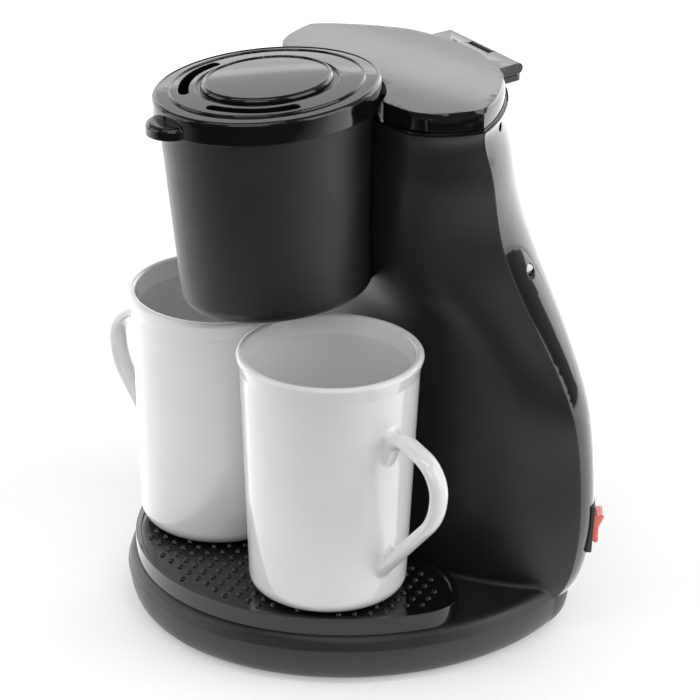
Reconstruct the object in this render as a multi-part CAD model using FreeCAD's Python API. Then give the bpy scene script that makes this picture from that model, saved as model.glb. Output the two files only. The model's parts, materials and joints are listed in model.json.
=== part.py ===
import FreeCAD, Part
import math
import os

# Two-cup drip coffee maker.  Millimetres, +Z up, +X to the viewer's right, -Y to the front.
# The origin is on the table, under the middle of the machine's outline.

V = FreeCAD.Vector

# Heights above the table
FOOT_HEIGHT = 0.8
BASE_SEAM_Z = 15.0
DECK_Z = 20.5
CUP_SEAT_Z = 27.5
BODY_TOP_Z = 202.4

# Rises above the body's top and drops below it
RESERVOIR_LID_RISE = 7.6
BASKET_RIM_RISE = 12.1
HINGE_RISE = 4.9
SPOUT_RISE = 0.8
TANK_DEPTH = 78.4
SHOULDER_DROP = 42.4
CHEEK_DROP = 50.4
COLUMN_DROP = 90.4
SEAM_DROP = 132.0
BACK_FULL_DROP = 84.4
OVERFLOW_DROP = 4.0
RESERVOIR_LID_TOP_Z = BODY_TOP_Z + RESERVOIR_LID_RISE
BASKET_RIM_Z = BODY_TOP_Z + BASKET_RIM_RISE
HINGE_Z = BODY_TOP_Z + HINGE_RISE
SPOUT_Z = BODY_TOP_Z + SPOUT_RISE
TANK_FLOOR_Z = BODY_TOP_Z - TANK_DEPTH
SHOULDER_Z = BODY_TOP_Z - SHOULDER_DROP
CHEEK_LOW_Z = BODY_TOP_Z - CHEEK_DROP
COLUMN_TOP_Z = BODY_TOP_Z - COLUMN_DROP
SEAM_LOW_Z = BODY_TOP_Z - SEAM_DROP
BACK_FULL_Z = BODY_TOP_Z - BACK_FULL_DROP
SIDE_SCREW_Z = 142.0

# Walls and clearances
WALL = 2.4
PAN_FLOOR = 2.5
SLIP_GAP = 0.4
LID_GAP = 1.8
PIN_GAP = 0.05
SEAT_GAP = 0.3
CUT_OVERRUN = 1.0
TOLERANCE = 0.01
CURVE_SAMPLES = 401
SIDES = (1.0, -1.0)

# Base outline: an ellipse that the back of the shell closes
BASE_Y = 17.6
BASE_HALF_WIDTH = 83.5
BASE_HALF_DEPTH = 91.0
PAN_INSET = 0.7
PAN_PROFILE = ((0.0, 6.4), (0.22, 2.6), (0.55, 0.6), (1.0, 0.0))
BAND_TAPER = 1.6
BAND_ROUND = 3.2

# Body outline: half width and side seam at neck, belly and foot
NECK_HALF = 54.8
BELLY_HALF = 85.5
BELLY_TOP_Z = 88.0
BELLY_LOW_Z = 45.0
NECK_SEAM_Y = 31.6
BELLY_SEAM_Y = 56.6
FOOT_SEAM_Y = 53.1
NECK_BACK_Y = 76.0
BELLY_BACK_Y = 80.0
CHEEK_FRONT_Y = 4.9
CHEEK_FLAT_X = 40.0
COLUMN_FRONT_Y = 19.5
COLUMN_FLAT_X = 46.0
FOOT_SCOOP = 5.0
FOOT_BLEND = 2.0
WELL_FRONT_Y = 32.0
STATION_COUNT = 13
CORNER_INSET = 0.6

# Poles of the body outline, first at the neck and then at the belly
BACK_CORNER_IN = (5.4, 2.4)
BACK_CORNER_REACH = (12.0, 15.0)
BACK_SHOULDER_SHARE = (0.57, 0.62)
BACK_SHOULDER_DROP = (11.4, 1.0)
FOOT_BACK_DROP = 4.0
FRONT_SIDE_IN = (4.3, 6.0)
FRONT_SIDE_REACH = (17.6, 15.0)
FRONT_FLAT_DROP = (-1.4, 3.0)
FOOT_SIDE_REACH = 9.0

# Brew basket and its lid, both ovals longer than they are wide
BASKET_Y = -27.0
BASKET_HALF_X = 33.2
BASKET_HALF_Y = 43.6
BASKET_DEPTH = 81.5
BASKET_FRONT_TAPER = 11.0
BASKET_SIDE_TAPER = 4.0
BASKET_WALL = 2.2
BASKET_CORNER = 6.0
BASKET_BOTTOM_Z = BASKET_RIM_Z - BASKET_DEPTH
CAP_TOP = 2.9
CAP_RIM_Z = BASKET_RIM_Z + CAP_TOP
CAP_WALL = 1.4
CAP_GAP = 0.3
CAP_SKIRT = 9.0
CAP_ROUND = 1.6
CAP_STEP = 0.86
CAP_STEP_RISE = 1.0
CAP_STEP_ROUND = 0.8
CAP_DISC = 0.58
CAP_DISC_RISE = 2.0
CAP_DISC_ROUND = 1.8
CAP_GROOVE = 0.63
CAP_GROOVE_DEPTH = 0.8
CAP_TAB_LENGTH = 7.0
CAP_TAB_HALF = 9.0
CAP_TAB_THICK = 4.5
CAP_TAB_LIFT = 0.2
CAP_TAB_ROUND = 2.0
VENT_SHARE = 0.73
VENT_WIDTH = 4.0
VENT_START_DEG = 20.0
VENT_END_DEG = 80.0

# Drip outlets under the basket
OUTLET_X = 11.0
OUTLET_BORE = 2.6

# Permanent filter
FILTER_WALL = 1.6
FILTER_RIM_DROP = 16.5
FILTER_FLOOR_RISE = 13.0
FILTER_RIM_Z = BASKET_RIM_Z - FILTER_RIM_DROP
FILTER_FLOOR_Z = BASKET_BOTTOM_Z + FILTER_FLOOR_RISE
FILTER_RIM_WIDTH = 2.6
FILTER_RIM_THICK = 2.0
FILTER_TAPER = 9.0
FILTER_WINDOWS = 10
FILTER_WINDOW_WIDTH = 9.0
FILTER_LOW_BAND = 6.4
FILTER_TOP_BAND = 8.0
MESH_THICK = 0.5
MESH_GAP = 0.15

# Water tank, its top plate and the hinge of the reservoir lid
TANK_WALL = 1.8
TANK_FRONT_Y = 22.5
TANK_HALF_X = 45.0
TANK_LIP = 1.0
COLLAR_INSET = 0.8
COLLAR_HEIGHT = 1.0
LID_INSET = 2.0
LID_THICK = 2.0
LID_SKIRT = 6.2
LID_BEVEL = 1.4
HINGE_Y = 73.4
HINGE_RADIUS = 2.1
HINGE_HALF = 21.0
HINGE_TONGUE = 2.4
HINGE_TONGUE_ROUND = 2.5
EAR_HALF = 6.0
KNUCKLE_WEB = 14.0
HINGE_ROOT = 16.0
HINGE_END = 1.4
HINGE_PIN_RADIUS = 0.9
OVERFLOW_RADIUS = 1.9
OVERFLOW_TURN_DEG = 38.0

# Water path
RISER_Y = 32.0
RISER_RADIUS = 4.0
RISER_BORE = 2.5
RISER_TOP_DROP = 7.2
RISER_TOP_Z = SPOUT_Z - RISER_TOP_DROP
RISER_DROP = 8.0
SPOUT_RADIUS = 3.2
SPOUT_BORE = 2.0
SPOUT_BEND = 4.5
SPOUT_REACH_Y = -20.0
SPOUT_END_DROP = 6.2
SPOUT_END_Z = SPOUT_Z - SPOUT_END_DROP
HOSE_RADIUS = 4.5
HOSE_BORE = 3.0
HOSE_BEND = 14.0
HOSE_RUN = 20.0
HOSE_RISE = 30.0
COLD_X = 24.0
COLD_Y = 46.0
NIPPLE_RADIUS = 3.5
NIPPLE_BORE = 2.0
NIPPLE_DROP = 8.0
VALVE_RADIUS = 6.0
VALVE_LENGTH = 14.0

# Heater
HEATER_Z = 34.0
HEATER_Y = 50.0
HEATER_SPAN = 24.0
HEATER_LEG = 30.0
HEATER_HALF_WIDTH = 5.5
HEATER_TOP = 5.5
HEATER_DROP = 14.5
HEATER_BORE = 3.2
ELEMENT_DROP = 9.0
ELEMENT_RADIUS = 3.0
ELEMENT_PIN = 9.0
BRACKET_X = 14.0
BRACKET_WIDTH = 12.0
BRACKET_THICK = 1.5
BRACKET_OVERLAP = 5.0
THERMOSTAT_RADIUS = 7.5
THERMOSTAT_HEIGHT = 6.0
FUSE_RADIUS = 2.0
FUSE_LENGTH = 22.0

# Drip tray
TRAY_INSET = 3.0
TRAY_END_Y = -6.0
TRAY_END_BULGE = 2.0
TRAY_END_REACH = 12.0
TRAY_LOBE = (62.0, 18.0)
TRAY_LOBE_IN = (44.0, 20.0)
TRAY_WAIST = (24.0, 9.0)
TRAY_MIDDLE_Y = 8.0
TRAY_WALL = 2.0
TRAY_FLOOR = 2.0
TRAY_LIP_DROP = 0.2
STUD_HEIGHT = 1.0
STUD_RADIUS = 1.2
STUD_TOP_RADIUS = 0.7
STUD_PITCH = 5.8
STUD_MARGIN = 3.0

# Cups
CUP_Y = -23.4
CUP_HEIGHT = 95.2
CUP_RIM_RADIUS = 34.8
CUP_APART = 0.6
CUP_X = CUP_RIM_RADIUS + CUP_APART / 2
CUP_FLARE = 1.4
CUP_NECK_RADIUS = CUP_RIM_RADIUS - CUP_FLARE
CUP_FOOT_RADIUS = 29.5
CUP_RING_RADIUS = 25.0
CUP_RING_WIDTH = 3.0
CUP_RING_HEIGHT = 1.6
CUP_CORNER = 5.5
CUP_WALL = 3.2
CUP_FLOOR = 5.0
LIP_HEIGHT = 3.4
HANDLE_ROOT_Z = 56.0
HANDLE_CREST = (36.0, 73.5)
HANDLE_CORNER = (59.4, 65.5)
HANDLE_ELBOW = (56.8, 46.0)
HANDLE_LOW_Z = 14.5
HANDLE_BENDS = (7.0, 14.0, 22.0)
HANDLE_THICK = 2.5
HANDLE_WIDTH = 4.1
HANDLE_ROOT_ROUND = 2.4
HANDLE_TURN_DEG = 7.0

# Switch on the right flank of the rear shell
SWITCH_Z = 43.0
SWITCH_TURN_DEG = 53.0
SWITCH_HALF_WIDTH = 6.0
SWITCH_HALF_HEIGHT = 8.2
SWITCH_FLANGE = 1.2
SWITCH_PROUD = 1.2
SWITCH_DEPTH = 14.0
SWITCH_WALL = 1.5
SWITCH_GAP = 0.2
ROCKER_GAP = 0.4
ROCKER_TILT_DEG = 12.0
ROCKER_PIVOT_IN = 2.0
ROCKER_PIVOT_RADIUS = 1.5
ROCKER_PIVOT_LENGTH = 1.1
ROCKER_END_GAP = 0.6
ROCKER_CREST = 4.4
ROCKER_WAIST = 3.2
ROCKER_BACK = 3.6
ROCKER_BACK_HALF = 2.0

# Fasteners, feet and gland
FOOT_RADIUS = 7.0
FOOT_X = 46.0
FOOT_FRONT_Y = -36.0
FOOT_BACK_Y = 48.0
FOOT_RECESS = 1.0
SCREW_RADIUS = 1.5
SCREW_HEAD_RADIUS = 3.2
SCREW_HEAD = 2.2
SCREW_HOLE_GAP = 0.25
SCREW_SEAT_GAP = 0.3
BASE_SCREW_LENGTH = 11.0
BOSS_RADIUS = 4.2
BACK_BOSS_RADIUS = 3.4
RIB_THICK = 2.4
BOSS_JOINT_Z = 9.0
BASE_SCREW_FRONT = (45.0, -22.0)
BASE_SCREW_BACK = (56.0, 61.5)
BACK_BOSS_TOP_Z = 26.0
SIDE_SCREW_Y = 54.0
SIDE_SCREW_SINK = 8.5969
SIDE_SCREW_LENGTH = 5.0
SIDE_HEAD_RADIUS = 2.3
SIDE_HEAD = 1.6
SIDE_POCKET_FLOOR = 1.2
LUG_HALF = 5.0
LUG_DEPTH = 5.5
LUG_PLATE = 2.1
LUG_FRONT_Y = 38.5
LUG_RIB = 3.5
LUG_RIB_REACH = 11.0
GLAND_Z = 27.0
GLAND_RADIUS = 6.0
GLAND_BORE = 3.5
GLAND_FLANGE = 8.0
GLAND_PROUD = 2.0
GLAND_DEPTH = 6.0
VENT_SLOTS = 7
VENT_SLOT_PITCH = 9.0
VENT_SLOT_LENGTH = 34.0
VENT_SLOT_WIDTH = 3.0


def save(name, shape):
    shape.exportStep("parts/" + name + ".step")


def lerp(low, high, share):
    return low + (high - low) * share


def smooth(start, end, value):
    """Rise from 0 to 1 with level ends as value goes from start to end."""
    share = min(max((value - start) / (end - start), 0.0), 1.0)
    return share * share * (3.0 - 2.0 * share)


def box(low, high):
    size = high - low
    return Part.makeBox(size.x, size.y, size.z, low)


def rod(start, end, radius):
    axis = end - start
    return Part.makeCylinder(radius, axis.Length, start, axis)


def tube(start, end, radius, bore):
    return rod(start, end, radius).cut(rod(start, end, bore))


def ellipse(y, z, half_x, half_y):
    """A level ellipse on the middle plane, and the angle of its front point."""
    centre = V(0, y, z)
    front = centre - V(0, half_y, 0)
    right = centre + V(half_x, 0, 0)
    if half_y >= half_x:
        return Part.Ellipse(front, right, centre), 0.0
    return Part.Ellipse(right, centre + V(0, half_y, 0), centre), -math.pi / 2


def oval(y, z, half_x, half_y):
    curve, _ = ellipse(y, z, half_x, half_y)
    return Part.Wire([curve.toShape()])


def front_arc(y, z, half_x, half_y, end_y):
    """Front part of an ellipse, from the left end to the right end at one Y."""
    curve, front = ellipse(y, z, half_x, half_y)
    reach = math.acos((y - end_y) / half_y)
    return Part.ArcOfEllipse(curve, front - reach, front + reach).toShape()


def loft(wires, ruled=False):
    solid = Part.makeLoft(wires, True, ruled)
    if solid.Volume < 0:
        solid.reverse()
    return solid


def spline(poles):
    curve = Part.BSplineCurve()
    curve.buildFromPoles(poles, False, 3)
    return curve.toShape()


def edges_at(solid, z):
    """Edges that lie in a level plane."""
    level = [edge for edge in solid.Edges if edge.BoundBox.ZLength < TOLERANCE]
    return [edge for edge in level if abs(edge.BoundBox.ZMin - z) < TOLERANCE]


def mirrored(half):
    """Pole list from the right end to the left end, given the right half and the middle pole."""
    left = [V(-pole.x, pole.y, pole.z) for pole in reversed(half[:-1])]
    return half + left


def rounded_path(points, radii):
    """Straight runs joined by tangent arcs, one radius for each inner point."""
    edges = []
    start = points[0]
    for before, corner, after, radius in zip(points, points[1:], points[2:], radii):
        to_before = (before - corner).normalize()
        to_after = (after - corner).normalize()
        half_angle = to_before.getAngle(to_after) / 2
        setback = radius / math.tan(half_angle)
        middle = (to_before + to_after).normalize() * (radius / math.sin(half_angle) - radius)
        arc_start = corner + to_before * setback
        arc_end = corner + to_after * setback
        edges.append(Part.LineSegment(start, arc_start).toShape())
        edges.append(Part.Arc(arc_start, corner + middle, arc_end).toShape())
        start = arc_end
    edges.append(Part.LineSegment(start, points[-1]).toShape())
    return Part.Wire(edges)


def sweep(path, section):
    return path.makePipeShell([section], True, False)


def hose(points, radii, radius):
    path = rounded_path(points, radii)
    ring = Part.Circle(points[0], points[1] - points[0], radius)
    return sweep(path, Part.Wire([ring.toShape()]))


# Body sections

def foot_half():
    """Half width of the base ellipse where the side seam meets it."""
    return ellipse_half(FOOT_SEAM_Y, 0.0)


def ellipse_half(y, inset):
    share = (y - BASE_Y) / (BASE_HALF_DEPTH - inset)
    return (BASE_HALF_WIDTH - inset) * math.sqrt(1.0 - share * share)


def belly(z):
    return 1.0 - smooth(BELLY_TOP_Z, SHOULDER_Z, z)


def foot(z):
    """0 above the belly, 1 at the base seam."""
    share = max((BELLY_LOW_Z - z) / (BELLY_LOW_Z - BASE_SEAM_Z), 0.0)
    return share * share


def half_width(z):
    return lerp(lerp(NECK_HALF, BELLY_HALF, belly(z)), foot_half(), foot(z))


def seam_y(z):
    share = min((BODY_TOP_Z - z) / (BODY_TOP_Z - SEAM_LOW_Z), 1.0)
    return lerp(lerp(NECK_SEAM_Y, BELLY_SEAM_Y, share), FOOT_SEAM_Y, foot(z))


def back_edge(z, inset):
    """Rear outline of the body at one height, from the right seam to the left."""
    half = half_width(z) - inset
    seam = seam_y(z)
    full = smooth(BODY_TOP_Z, BACK_FULL_Z, z)
    back = lerp(NECK_BACK_Y, BELLY_BACK_Y, full) - inset - FOOT_BACK_DROP * foot(z)
    corner_y = seam + lerp(*BACK_CORNER_REACH, full) - inset * CORNER_INSET
    corner = V(half - lerp(*BACK_CORNER_IN, full), corner_y, z)
    shoulder = V(half * lerp(*BACK_SHOULDER_SHARE, full), back - lerp(*BACK_SHOULDER_DROP, full), z)
    return spline(mirrored([V(half, seam, z), corner, shoulder, V(0, back, z)]))


def front_edge(z, inset):
    """Front outline of the column at one height, from the right seam to the left."""
    half = half_width(z) - inset
    seam = seam_y(z)
    low = 1.0 - smooth(COLUMN_TOP_Z, CHEEK_LOW_Z, z)
    front = lerp(CHEEK_FRONT_Y, COLUMN_FRONT_Y, low) - FOOT_SCOOP * foot(z) + inset
    reach = lerp(lerp(*FRONT_SIDE_REACH, low), FOOT_SIDE_REACH, foot(z))
    side = V(half - lerp(*FRONT_SIDE_IN, low), seam - reach + inset * CORNER_INSET, z)
    flat = V(lerp(CHEEK_FLAT_X, COLUMN_FLAT_X, low), front + lerp(*FRONT_FLAT_DROP, low), z)
    return spline(mirrored([V(half, seam, z), side, flat, V(0, front, z)]))


def seam_line(z, inset):
    half = half_width(z) - inset
    return Part.LineSegment(V(-half, seam_y(z), z), V(half, seam_y(z), z)).toShape()


def station_heights():
    step = (BODY_TOP_Z - BASE_SEAM_Z) / (STATION_COUNT - 1)
    return [BASE_SEAM_Z + step * index for index in range(STATION_COUNT)]


def column_front(inset):
    return loft([Part.Wire([front_edge(z, inset), seam_line(z, inset)]) for z in station_heights()])


def column_back():
    return loft([Part.Wire([back_edge(z, 0.0), seam_line(z, 0.0)]) for z in station_heights()])


def cavity_heights():
    heights = station_heights()
    heights[0] -= CUT_OVERRUN
    heights[-1] += CUT_OVERRUN
    return heights


def past_seam(edge):
    """Closed wire of a half outline whose ends run past the seam."""
    poles = edge.Curve.getPoles()
    tail = poles[0] + (poles[0] - poles[1]).normalize() * CUT_OVERRUN
    left = V(-tail.x, tail.y, tail.z)
    closing = Part.LineSegment(left, tail).toShape()
    return Part.Wire([spline([tail] + poles[1:-1] + [left]), closing])


def half_cavity(half_edge):
    """Inside of the front or rear half of the body, run past its open ends and the seam."""
    return loft([past_seam(half_edge(z, WALL)) for z in cavity_heights()])


def column_cavity(clearance):
    """Inside of the whole body, run past both open ends and set in by a clearance."""
    return loft([full_outline(z, WALL + clearance) for z in cavity_heights()])


def full_outline(z, inset):
    return Part.Wire([front_edge(z, inset), back_edge(z, inset)])


def top_outline(inset, z):
    """Outline of the body's top, set in and lifted to a height."""
    wire = full_outline(BODY_TOP_Z, inset)
    wire.translate(V(0, 0, z - BODY_TOP_Z))
    return wire


def prism(wire, height):
    return Part.Face(wire).extrude(V(0, 0, height))


# Base sections

def base_front(z, inset):
    return front_arc(BASE_Y, z, BASE_HALF_WIDTH - inset, BASE_HALF_DEPTH - inset, FOOT_SEAM_Y)


def base_back(z, inset):
    edge = back_edge(BASE_SEAM_Z, foot_half() - ellipse_half(FOOT_SEAM_Y, inset))
    edge.translate(V(0, 0, z - BASE_SEAM_Z))
    return edge


def base_outline(z, inset):
    return Part.Wire([base_front(z, inset), base_back(z, inset)])


def deck_outline(z, inset):
    half = ellipse_half(FOOT_SEAM_Y, inset)
    line = Part.LineSegment(V(-half, FOOT_SEAM_Y, z), V(half, FOOT_SEAM_Y, z)).toShape()
    return Part.Wire([base_front(z, inset), line])


def both_sides(x, y):
    return [V(x, y, 0), V(-x, y, 0)]


def rods(places, low, high, radius):
    return [rod(V(p.x, p.y, low), V(p.x, p.y, high), radius) for p in places]


def base_screw_places():
    return both_sides(*BASE_SCREW_FRONT) + both_sides(*BASE_SCREW_BACK)


def foot_places():
    return both_sides(FOOT_X, FOOT_FRONT_Y) + both_sides(FOOT_X, FOOT_BACK_Y)


def bracket_places():
    return both_sides(BRACKET_X, HEATER_Y)


def bracket_z():
    return HEATER_Z - HEATER_DROP - BRACKET_THICK


# Base pan, feet and screws

def pan_shape(low_z, inset):
    """Bowl of the pan from a height up to the seam, set in by a wall."""
    sections = []
    for share, taper in PAN_PROFILE:
        z = lerp(low_z, BASE_SEAM_Z, share)
        sections.append(base_outline(z, PAN_INSET + taper + inset))
    return loft(sections)


def base_pan():
    floor_z = FOOT_HEIGHT + PAN_FLOOR
    pan = pan_shape(FOOT_HEIGHT, 0.0).cut(pan_shape(floor_z, WALL))
    pan = pan.fuse(rods(base_screw_places(), FOOT_HEIGHT, BOSS_JOINT_Z, BOSS_RADIUS))
    pan = pan.fuse(rods(bracket_places(), FOOT_HEIGHT, bracket_z(), BOSS_RADIUS))
    head_z = FOOT_HEIGHT + SCREW_HEAD + SCREW_SEAT_GAP
    cuts = rods(base_screw_places(), 0, BOSS_JOINT_Z, SCREW_RADIUS + SCREW_HOLE_GAP)
    cuts += rods(base_screw_places(), 0, head_z, SCREW_HEAD_RADIUS + SCREW_SEAT_GAP)
    cuts += rods(foot_places(), 0, FOOT_HEIGHT + FOOT_RECESS, FOOT_RADIUS + PIN_GAP)
    cuts += rods(bracket_places(), floor_z, bracket_z(), SCREW_RADIUS + PIN_GAP)
    for index in range(VENT_SLOTS):
        x = (index - (VENT_SLOTS - 1) / 2) * VENT_SLOT_PITCH
        low = V(x - VENT_SLOT_WIDTH / 2, -VENT_SLOT_LENGTH / 2, 0)
        cuts.append(box(low, low + V(VENT_SLOT_WIDTH, VENT_SLOT_LENGTH, floor_z)))
    return pan.cut(cuts)


def rubber_feet():
    return Part.makeCompound(rods(foot_places(), 0, FOOT_HEIGHT + FOOT_RECESS, FOOT_RADIUS))


def screw(seat, shank, head_radius, head_height):
    """Pan-head screw whose head sits on seat, with its shank as a vector."""
    along = V(shank).normalize()
    head = rod(seat - along * head_height, seat, head_radius)
    return head.fuse(rod(seat, seat + shank, SCREW_RADIUS))


def plain_screws(places, z, rise):
    seats = [V(place.x, place.y, z) for place in places]
    return Part.makeCompound([screw(seat, V(0, 0, rise), SCREW_HEAD_RADIUS, SCREW_HEAD) for seat in seats])


def base_screws():
    seat_z = FOOT_HEIGHT + SCREW_HEAD + SCREW_SEAT_GAP
    return plain_screws(base_screw_places(), seat_z, BASE_SCREW_LENGTH)


# Brew basket outline, shared by what it passes through

def basket_span(z):
    """Middle and half sizes of the basket's outside at one height; its back is upright."""
    share = (BASKET_RIM_Z - z) / BASKET_DEPTH
    front_in = BASKET_FRONT_TAPER * share / 2
    return BASKET_Y + front_in, BASKET_HALF_X - BASKET_SIDE_TAPER * share, BASKET_HALF_Y - front_in


def basket_oval(z, grow):
    middle, half_x, half_y = basket_span(z)
    return oval(middle, z, half_x + grow, half_y + grow)


def basket_shape(grow):
    """Outside of the brew basket, grown by a clearance."""
    bottom_z = BASKET_BOTTOM_Z - grow
    solid = loft([basket_oval(bottom_z, grow), basket_oval(BASKET_RIM_Z, grow)], True)
    return solid.makeFillet(BASKET_CORNER + grow, edges_at(solid, bottom_z))


# Front housing and rear shell

def side_screw_x():
    """Where the rear shell seats on the housing's lug, in from the body's side."""
    return half_width(SIDE_SCREW_Z) - SIDE_SCREW_SINK


def side_box(sign, low, high):
    """A box given for the right side, mirrored when sign is negative."""
    xs = sorted((sign * low.x, sign * high.x))
    return box(V(xs[0], low.y, low.z), V(xs[1], high.y, high.z))


def side_axis(sign, start_x, end_x, radius):
    start = V(sign * start_x, SIDE_SCREW_Y, SIDE_SCREW_Z)
    return rod(start, V(sign * end_x, SIDE_SCREW_Y, SIDE_SCREW_Z), radius)


def side_lug(sign, mid_wall, room):
    """Arm of the front housing that takes a side screw behind the seam."""
    low_z = SIDE_SCREW_Z - LUG_HALF
    high_z = SIDE_SCREW_Z + LUG_HALF
    back_y = SIDE_SCREW_Y + LUG_HALF
    face_x = side_screw_x()
    plate_x = face_x - LUG_PLATE
    plate = side_box(sign, V(plate_x, LUG_FRONT_Y, low_z), V(face_x, back_y, high_z))
    boss_low = V(face_x - LUG_DEPTH, SIDE_SCREW_Y - LUG_HALF, low_z)
    boss = side_box(sign, boss_low, V(face_x, back_y, high_z))
    rib_high = V(face_x + LUG_RIB_REACH, LUG_FRONT_Y + LUG_RIB, high_z)
    rib = side_box(sign, V(plate_x, LUG_FRONT_Y, low_z), rib_high).common(mid_wall)
    return plate.fuse(boss).common(room).fuse(rib)


def front_housing():
    deck = loft([deck_outline(BASE_SEAM_Z, 0.0), deck_outline(DECK_Z, BAND_TAPER)], True)
    brink = max(edges_at(deck, DECK_Z), key=lambda edge: edge.Length)
    deck = deck.makeFillet(BAND_ROUND, [brink])
    hollow_top = deck_outline(DECK_Z - WALL, BAND_TAPER + WALL)
    hollow = loft([deck_outline(BASE_SEAM_Z, WALL), hollow_top], True)
    room = column_cavity(SLIP_GAP)
    well = box(V(-BELLY_HALF, WELL_FRONT_Y, 0), V(BELLY_HALF, BELLY_SEAM_Y, DECK_Z + WALL)).common(room)
    column = column_front(0.0).cut(half_cavity(front_edge)).cut(basket_shape(SEAT_GAP))
    housing = deck.cut([hollow, well]).fuse(column)
    level = [edge for edge in edges_at(housing, DECK_Z) if edge.BoundBox.YMin > CUP_Y]
    housing = housing.makeFillet(FOOT_BLEND, [min(level, key=lambda edge: edge.BoundBox.YMin)])
    bosses = rods(both_sides(*BASE_SCREW_FRONT), BOSS_JOINT_Z, DECK_Z - WALL / 2, BOSS_RADIUS)
    mid_wall = column_front(WALL / 2)
    housing = housing.fuse(bosses + [side_lug(sign, mid_wall, room) for sign in SIDES])
    hole = SCREW_RADIUS + PIN_GAP
    holes = rods(both_sides(*BASE_SCREW_FRONT), BOSS_JOINT_Z, DECK_Z - WALL, hole)
    face_x = side_screw_x()
    holes += [side_axis(sign, face_x - LUG_DEPTH, face_x, hole) for sign in SIDES]
    return housing.cut(holes)


def facing(turn_deg):
    turn = math.radians(turn_deg)
    return V(math.cos(turn), math.sin(turn), 0)


def shell_point(z, turn_deg):
    """Point of the rear shell that stands furthest out the way a feature faces."""
    points = back_edge(z, 0.0).discretize(CURVE_SAMPLES)
    return max(points, key=lambda point: point.dot(facing(turn_deg)))


def switch_placed(shape):
    """Move a shape from switch axes, +X outward and the shell at X = 0, to its place."""
    shape.rotate(V(0, 0, 0), V(0, 0, 1), SWITCH_TURN_DEG)
    shape.translate(shell_point(SWITCH_Z, SWITCH_TURN_DEG))
    return shape


def switch_block(back, front, grow):
    low = V(back, -SWITCH_HALF_WIDTH - grow, -SWITCH_HALF_HEIGHT - grow)
    return box(low, V(front, SWITCH_HALF_WIDTH + grow, SWITCH_HALF_HEIGHT + grow))


def back_bosses(outline):
    """Rear screw bosses, each tied to the back wall by a rib."""
    bosses = rods(both_sides(*BASE_SCREW_BACK), BOSS_JOINT_Z, BACK_BOSS_TOP_Z, BACK_BOSS_RADIUS)
    for place in both_sides(*BASE_SCREW_BACK):
        low = V(place.x - RIB_THICK / 2, place.y, BASE_SEAM_Z)
        rib = box(low, V(place.x + RIB_THICK / 2, BELLY_BACK_Y, BACK_BOSS_TOP_Z))
        bosses.append(rib.common(outline))
    return bosses


def rear_shell():
    outline = column_back()
    shell = outline.cut(half_cavity(back_edge))
    cups = []
    hole = SCREW_RADIUS + PIN_GAP
    cuts = rods(both_sides(*BASE_SCREW_BACK), BOSS_JOINT_Z, BACK_BOSS_TOP_Z - WALL, hole)
    pocket = SIDE_HEAD_RADIUS + SCREW_SEAT_GAP
    face_x = side_screw_x()
    end_x = face_x + LUG_RIB_REACH
    for sign in SIDES:
        cup = side_axis(sign, face_x, end_x, pocket + SIDE_POCKET_FLOOR)
        cups.append(cup.common(outline))
        cuts.append(side_axis(sign, face_x + SIDE_POCKET_FLOOR, end_x, pocket))
        cuts.append(side_axis(sign, face_x, end_x, SCREW_RADIUS + SCREW_HOLE_GAP))
    shell = shell.fuse(back_bosses(outline) + cups)
    cuts.append(switch_placed(switch_block(-SWITCH_DEPTH, SWITCH_DEPTH, SWITCH_GAP)))
    overflow = shell_point(BODY_TOP_Z - OVERFLOW_DROP, OVERFLOW_TURN_DEG)
    reach = facing(OVERFLOW_TURN_DEG) * (2 * WALL)
    cuts.append(rod(overflow - reach, overflow + reach, OVERFLOW_RADIUS))
    gland_start = V(0, BASE_SCREW_BACK[1], GLAND_Z)
    cuts.append(rod(gland_start, V(0, BELLY_BACK_Y + GLAND_DEPTH, GLAND_Z), GLAND_RADIUS + PIN_GAP))
    return shell.cut(cuts)


def side_screws():
    screws = []
    for sign in SIDES:
        seat = V(sign * (side_screw_x() + SIDE_POCKET_FLOOR), SIDE_SCREW_Y, SIDE_SCREW_Z)
        screws.append(screw(seat, V(-sign * SIDE_SCREW_LENGTH, 0, 0), SIDE_HEAD_RADIUS, SIDE_HEAD))
    return Part.makeCompound(screws)


def cord_gland():
    outline = column_back()
    back = max(point.y for point in back_edge(GLAND_Z, 0.0).discretize(CURVE_SAMPLES))
    inner = V(0, back - GLAND_DEPTH, GLAND_Z)
    outer = V(0, back + GLAND_PROUD, GLAND_Z)
    flange = rod(V(0, back - WALL, GLAND_Z), outer, GLAND_FLANGE).cut(outline)
    body = rod(inner, outer, GLAND_RADIUS)
    return flange.fuse(body).cut(rod(inner, outer, GLAND_BORE))


# Water tank and reservoir lid

def cap_half():
    grow = CAP_GAP + CAP_WALL
    return BASKET_HALF_X + grow, BASKET_HALF_Y + grow


def hinge_rod(half, radius):
    return rod(V(-half, HINGE_Y, HINGE_Z), V(half, HINGE_Y, HINGE_Z), radius)


def hinge_tongue():
    """Tongue of the collar under the lid's flap, with the ear that carries the pin."""
    low = V(-HINGE_HALF, HINGE_Y - HINGE_ROOT, BODY_TOP_Z)
    tongue = box(low, V(HINGE_HALF, HINGE_Y + HINGE_RADIUS, BODY_TOP_Z + HINGE_TONGUE))
    upright = [edge for edge in tongue.Edges if edge.BoundBox.ZLength > HINGE_TONGUE / 2]
    corners = [edge for edge in upright if edge.BoundBox.YMin > HINGE_Y]
    tongue = tongue.makeFillet(HINGE_TONGUE_ROUND, corners)
    ear_low = V(-EAR_HALF, HINGE_Y - HINGE_RADIUS, BODY_TOP_Z)
    ear = box(ear_low, V(EAR_HALF, HINGE_Y + HINGE_RADIUS, HINGE_Z))
    ear = ear.fuse(hinge_rod(EAR_HALF, HINGE_RADIUS))
    return tongue.fuse(ear).cut(hinge_rod(EAR_HALF, HINGE_PIN_RADIUS + PIN_GAP))


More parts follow.
